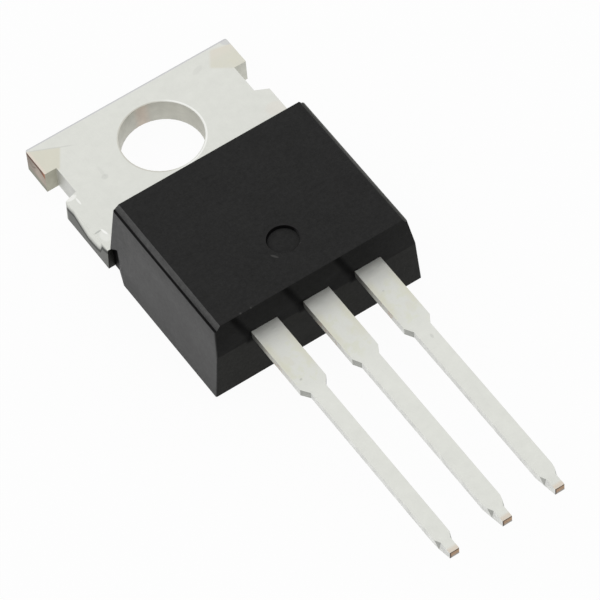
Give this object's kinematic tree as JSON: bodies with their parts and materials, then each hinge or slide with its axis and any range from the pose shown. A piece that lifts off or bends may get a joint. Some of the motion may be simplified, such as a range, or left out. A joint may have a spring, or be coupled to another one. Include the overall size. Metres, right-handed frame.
{
  "type": "power MOSFET, TO-220",
  "caption": "Power MOSFET in a TO-220 package: tinned tab with a mounting hole, black moulded body and three straight leads.",
  "frame": {"origin": "centre of the tab's mounting hole on the flat back face", "axes": "+Z out of the back face towards the marked top, +Y along the tab away from the leads, +X across"},
  "size_m": [0.0102, 0.0281, 0.0044],
  "materials": {
    "mould_compound": "matte",
    "tinned_copper": "satin",
    "solder": "satin",
    "silicon": "polished",
    "aluminium_wire": "satin"
  },
  "bodies": {
    "root": {"mould_body": "mould_compound", "drain_header": "tinned_copper", "gate_lead": "tinned_copper", "source_lead": "tinned_copper", "solder_layer": "solder", "silicon_die": "silicon", "gate_wire": "aluminium_wire", "source_wire_inner": "aluminium_wire", "source_wire_outer": "aluminium_wire"}
  },
  "joints": []
}
